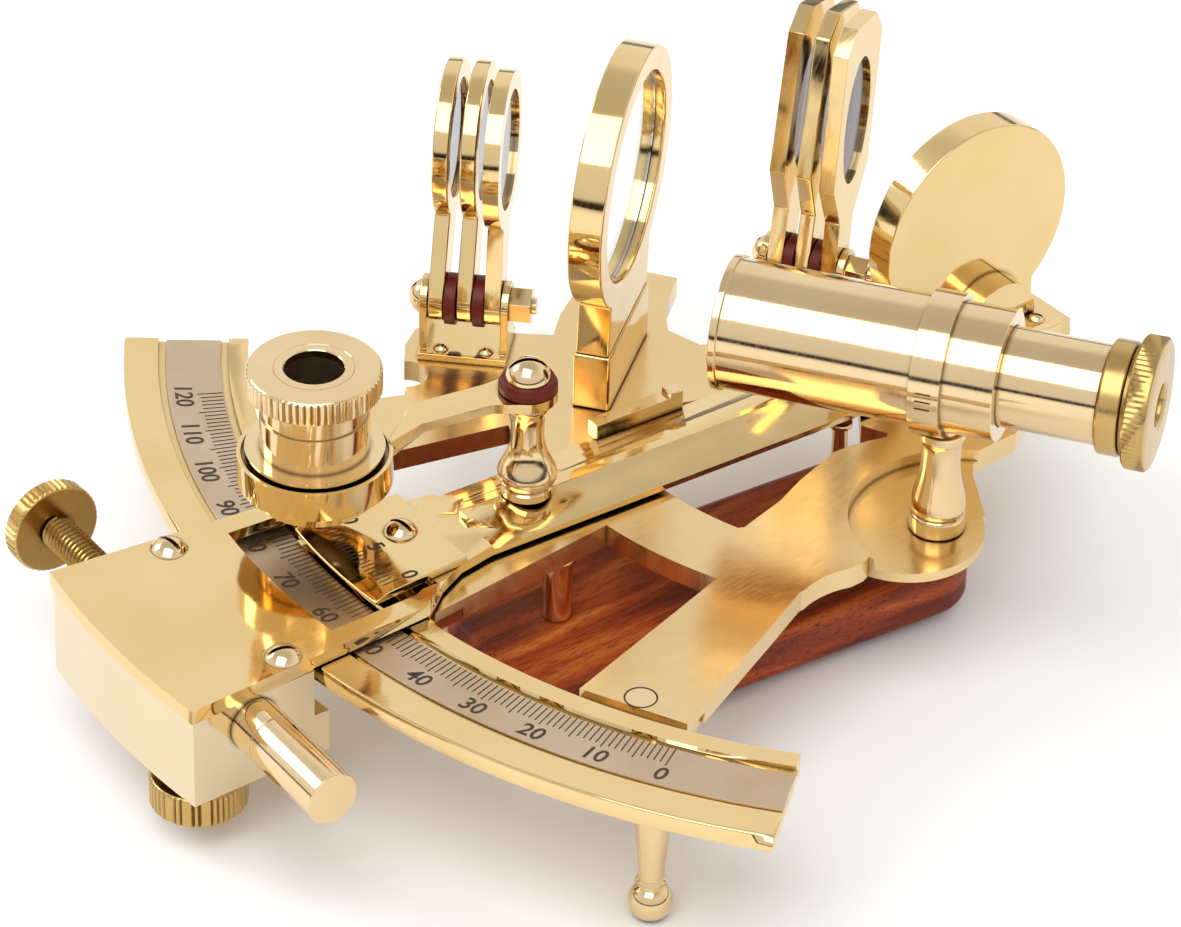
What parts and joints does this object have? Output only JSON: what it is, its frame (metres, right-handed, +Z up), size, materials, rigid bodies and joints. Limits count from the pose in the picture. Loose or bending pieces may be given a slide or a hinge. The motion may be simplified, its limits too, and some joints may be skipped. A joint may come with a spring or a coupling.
{
  "type": "brass sextant",
  "caption": "Brass sextant on ball feet, with a swinging index arm, telescope, index and horizon mirrors, folding shades, reading magnifier and wooden handle.",
  "frame": {"origin": "on the index arm's pivot axis, in the plane of the three feet (the flat under the pivot leg)", "axes": "+Z up from the feet; -Y from the pivot towards the graduated arc's middle; +X to the side the telescope's eyepiece points"},
  "size_m": [0.2005, 0.2221, 0.1043],
  "materials": {
    "brass": "polished cast and turned brass",
    "aged_brass": "darker aged brass",
    "silvered_brass": "brushed silvered strip",
    "wood": "oiled reddish hardwood",
    "red_fibre": "vulcanised fibre washer",
    "clear_glass": "polished clear glass",
    "tinted_glass": "dark neutral glass",
    "mirror_glass": "silvered mirror"
  },
  "bodies": {
    "sextant_frame": {"frame": "brass", "arc_limb": "brass", "scale_strip": "silvered_brass", "limb_rivets": "brass", "leg_right": "brass", "leg_left": "brass", "leg_apex": "brass", "handle": "wood", "handle_posts": "brass", "pivot_bush": "aged_brass", "telescope_pillar": "brass", "telescope_clamp": "brass", "telescope_tube": "brass", "objective_lens": "clear_glass", "horizon_mirror_ring": "brass", "horizon_mirror_foot": "brass", "horizon_glass": "clear_glass", "bracket_rivets": "brass", "horizon_shade_bracket": "aged_brass", "horizon_shade_bolt": "brass", "horizon_shade_washers": "red_fibre", "index_shade_bracket": "aged_brass", "index_shade_bolt": "brass", "index_shade_washers": "red_fibre"},
    "index_arm": {"index_arm": "brass", "arm_side_bar": "brass", "index_mirror_rim": "brass", "index_mirror_foot": "brass", "index_mirror_screws": "brass", "index_glass": "mirror_glass", "vernier_plate": "brass", "vernier_screw": "brass", "magnifier_pillar": "brass", "magnifier_washers": "red_fibre", "magnifier_screw": "brass", "tangent_box": "brass", "box_screws": "brass", "tangent_plunger": "brass", "pivot_shaft": "aged_brass", "pivot_retainer": "aged_brass"},
    "draw_tube": {"draw_tube": "brass", "eyepiece": "brass", "eye_lens": "clear_glass"},
    "magnifier_arm": {"magnifier_holder": "brass"},
    "magnifier_barrel": {"magnifier_barrel": "brass", "magnifier_lens": "clear_glass"},
    "tangent_screw": {"tangent_screw": "aged_brass"},
    "clamp_screw": {"clamp_screw": "aged_brass"},
    "horizon_shade_1": {"horizon_shade_1": "brass", "horizon_tint_1": "tinted_glass"},
    "horizon_shade_2": {"horizon_shade_2": "brass", "horizon_tint_2": "tinted_glass"},
    "horizon_shade_3": {"horizon_shade_3": "brass", "horizon_tint_3": "tinted_glass"},
    "index_shade_1": {"index_shade_1": "brass", "index_tint_1": "tinted_glass"},
    "index_shade_2": {"index_shade_2": "brass", "index_tint_2": "tinted_glass"},
    "index_shade_3": {"index_shade_3": "brass", "index_tint_3": "tinted_glass"}
  },
  "joints": [
    {"name": "arm_swing", "type": "hinge", "parent": "sextant_frame", "child": "index_arm", "pos_m": [0, 0, 0.032], "axis": [0, 0, 1], "range_deg": [-4.5, 34]},
    {"name": "horizon_shade_1_fold", "type": "hinge", "parent": "sextant_frame", "child": "horizon_shade_1", "pos_m": [-0.0582, -0.0737, 0.043], "axis": [-0.7193, -0.6947, 0], "range_deg": [-50, 52]},
    {"name": "horizon_shade_2_fold", "type": "hinge", "parent": "sextant_frame", "child": "horizon_shade_2", "pos_m": [-0.0582, -0.0737, 0.043], "axis": [-0.7193, -0.6947, 0], "range_deg": [-48, 54]},
    {"name": "horizon_shade_3_fold", "type": "hinge", "parent": "sextant_frame", "child": "horizon_shade_3", "pos_m": [-0.0582, -0.0737, 0.043], "axis": [-0.7193, -0.6947, 0], "range_deg": [-34, 68]},
    {"name": "index_shade_1_fold", "type": "hinge", "parent": "sextant_frame", "child": "index_shade_1", "pos_m": [-0.0279, -0.011, 0.044], "axis": [-0.866, -0.5, 0], "range_deg": [-36, 66]},
    {"name": "index_shade_2_fold", "type": "hinge", "parent": "sextant_frame", "child": "index_shade_2", "pos_m": [-0.0279, -0.011, 0.044], "axis": [-0.866, -0.5, 0], "range_deg": [-35.5, 66.5]},
    {"name": "index_shade_3_fold", "type": "hinge", "parent": "sextant_frame", "child": "index_shade_3", "pos_m": [-0.0279, -0.011, 0.044], "axis": [-0.866, -0.5, 0], "range_deg": [-29.5, 72.5]},
    {"name": "telescope_focus", "type": "slide", "parent": "sextant_frame", "child": "draw_tube", "axis": [0.829, 0.5592, 0], "range_m": [-0.015, 0.008]},
    {"name": "magnifier_swivel", "type": "hinge", "parent": "index_arm", "child": "magnifier_arm", "pos_m": [-0.00636, -0.09829, 0.06], "axis": [0, 0, 1], "range_deg": [-20, 45]},
    {"name": "magnifier_focus", "type": "slide", "parent": "magnifier_arm", "child": "magnifier_barrel", "axis": [0, 0, 1], "range_m": [0, 0.004]},
    {"name": "tangent_screw_turn", "type": "hinge", "parent": "index_arm", "child": "tangent_screw", "pos_m": [-0.05121, -0.17205, 0.028], "axis": [0.9979, -0.0645, 0], "continuous": true},
    {"name": "clamp_screw_turn", "type": "hinge", "parent": "index_arm", "child": "clamp_screw", "pos_m": [0.00288, -0.18176, 0.01], "axis": [0, 0, 1], "continuous": true}
  ]
}
